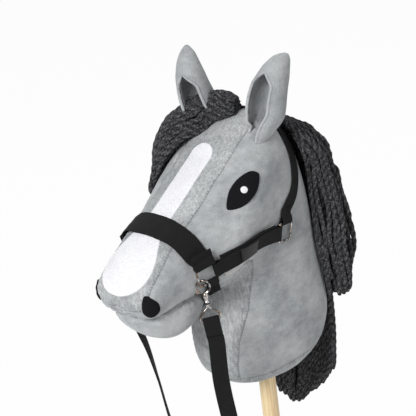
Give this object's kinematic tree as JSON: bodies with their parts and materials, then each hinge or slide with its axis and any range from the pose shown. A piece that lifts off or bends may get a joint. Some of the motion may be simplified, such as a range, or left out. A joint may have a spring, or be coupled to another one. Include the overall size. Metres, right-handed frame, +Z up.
{
  "type": "hobby horse",
  "caption": "Stuffed plush horse head with a yarn mane, felt eyes, a webbing halter and clip-on reins, on a plain round wooden stick that pushes into the neck.",
  "frame": {"origin": "centre of the stick's foot face", "axes": "+Z up the stick; the horse looks along -X; its left side faces -Y"},
  "size_m": [0.3771, 0.2026, 1.0165],
  "materials": {
    "pine": "bare planed softwood",
    "pocket_cloth": "hidden sewn sleeve",
    "fibre_filling": "hidden fibre stuffing",
    "grey_plush": "short mottled plush",
    "white_plush": "short plush",
    "black_felt": "matt felt",
    "black_webbing": "flat woven webbing",
    "pad_lining": "thin pale lining",
    "patch_leather": "matt, bare",
    "bright_steel": "bright plated wire",
    "charcoal_yarn": "loose twisted yarn"
  },
  "bodies": {
    "stick": {"stick": "pine"},
    "head": {"base_panel": "grey_plush", "blaze": "white_plush", "chin_strap": "black_webbing", "crown_strap": "black_webbing", "forehead_gusset": "grey_plush", "forelock": "charcoal_yarn", "head_filling": "fibre_filling", "jaw_cover": "grey_plush", "jaw_filling": "fibre_filling", "left_cheek_pad": "black_webbing", "left_cheek_strap": "black_webbing", "left_ear": "grey_plush", "left_ear_lining": "grey_plush", "left_eye": "black_felt", "left_glint": "white_plush", "left_hook": "bright_steel", "left_lower_ring": "bright_steel", "left_nostril": "black_felt", "left_pad_lining": "pad_lining", "left_patch": "patch_leather", "left_side_panel": "grey_plush", "left_upper_ring": "bright_steel", "lower_mane": "charcoal_yarn", "mane_tape": "charcoal_yarn", "neck_filling": "fibre_filling", "noseband": "black_webbing", "rein": "black_webbing", "right_cheek_pad": "black_webbing", "right_cheek_strap": "black_webbing", "right_ear": "grey_plush", "right_ear_lining": "grey_plush", "right_eye": "black_felt", "right_glint": "white_plush", "right_hook": "bright_steel", "right_lower_ring": "bright_steel", "right_nostril": "black_felt", "right_pad_lining": "pad_lining", "right_patch": "patch_leather", "right_side_panel": "grey_plush", "right_upper_ring": "bright_steel", "stick_pocket": "pocket_cloth", "throat_gusset": "grey_plush", "upper_mane": "charcoal_yarn"},
    "left_swivel_body": {"left_swivel": "bright_steel", "left_rein_end": "black_webbing"},
    "left_gate_body": {"left_gate": "bright_steel"},
    "right_swivel_body": {"right_swivel": "bright_steel", "right_rein_end": "black_webbing"},
    "right_gate_body": {"right_gate": "bright_steel"}
  },
  "joints": [
    {"name": "head_lift", "type": "slide", "parent": "stick", "child": "head", "axis": [0, 0, 1], "range_m": [0, 0.2]},
    {"name": "left_swivel_turn", "type": "hinge", "parent": "head", "child": "left_swivel_body", "pos_m": [-0.14406, -0.06705, 0.75356], "axis": [0.0488, 0.2146, 0.9755], "range_deg": [-12, 12]},
    {"name": "left_gate_press", "type": "hinge", "parent": "head", "child": "left_gate_body", "pos_m": [-0.14582, -0.06096, 0.76722], "axis": [0.771, 0.6128, -0.1734], "range_deg": [0, 22], "stiffness_Nm_per_rad": 0.0005, "springref_deg": -17.19},
    {"name": "right_swivel_turn", "type": "hinge", "parent": "head", "child": "right_swivel_body", "pos_m": [-0.14406, 0.06705, 0.75356], "axis": [0.0488, -0.2146, 0.9755], "range_deg": [-12, 12]},
    {"name": "right_gate_press", "type": "hinge", "parent": "head", "child": "right_gate_body", "pos_m": [-0.14582, 0.06096, 0.76722], "axis": [-0.771, 0.6128, 0.1734], "range_deg": [0, 22], "stiffness_Nm_per_rad": 0.0005, "springref_deg": -17.19}
  ]
}
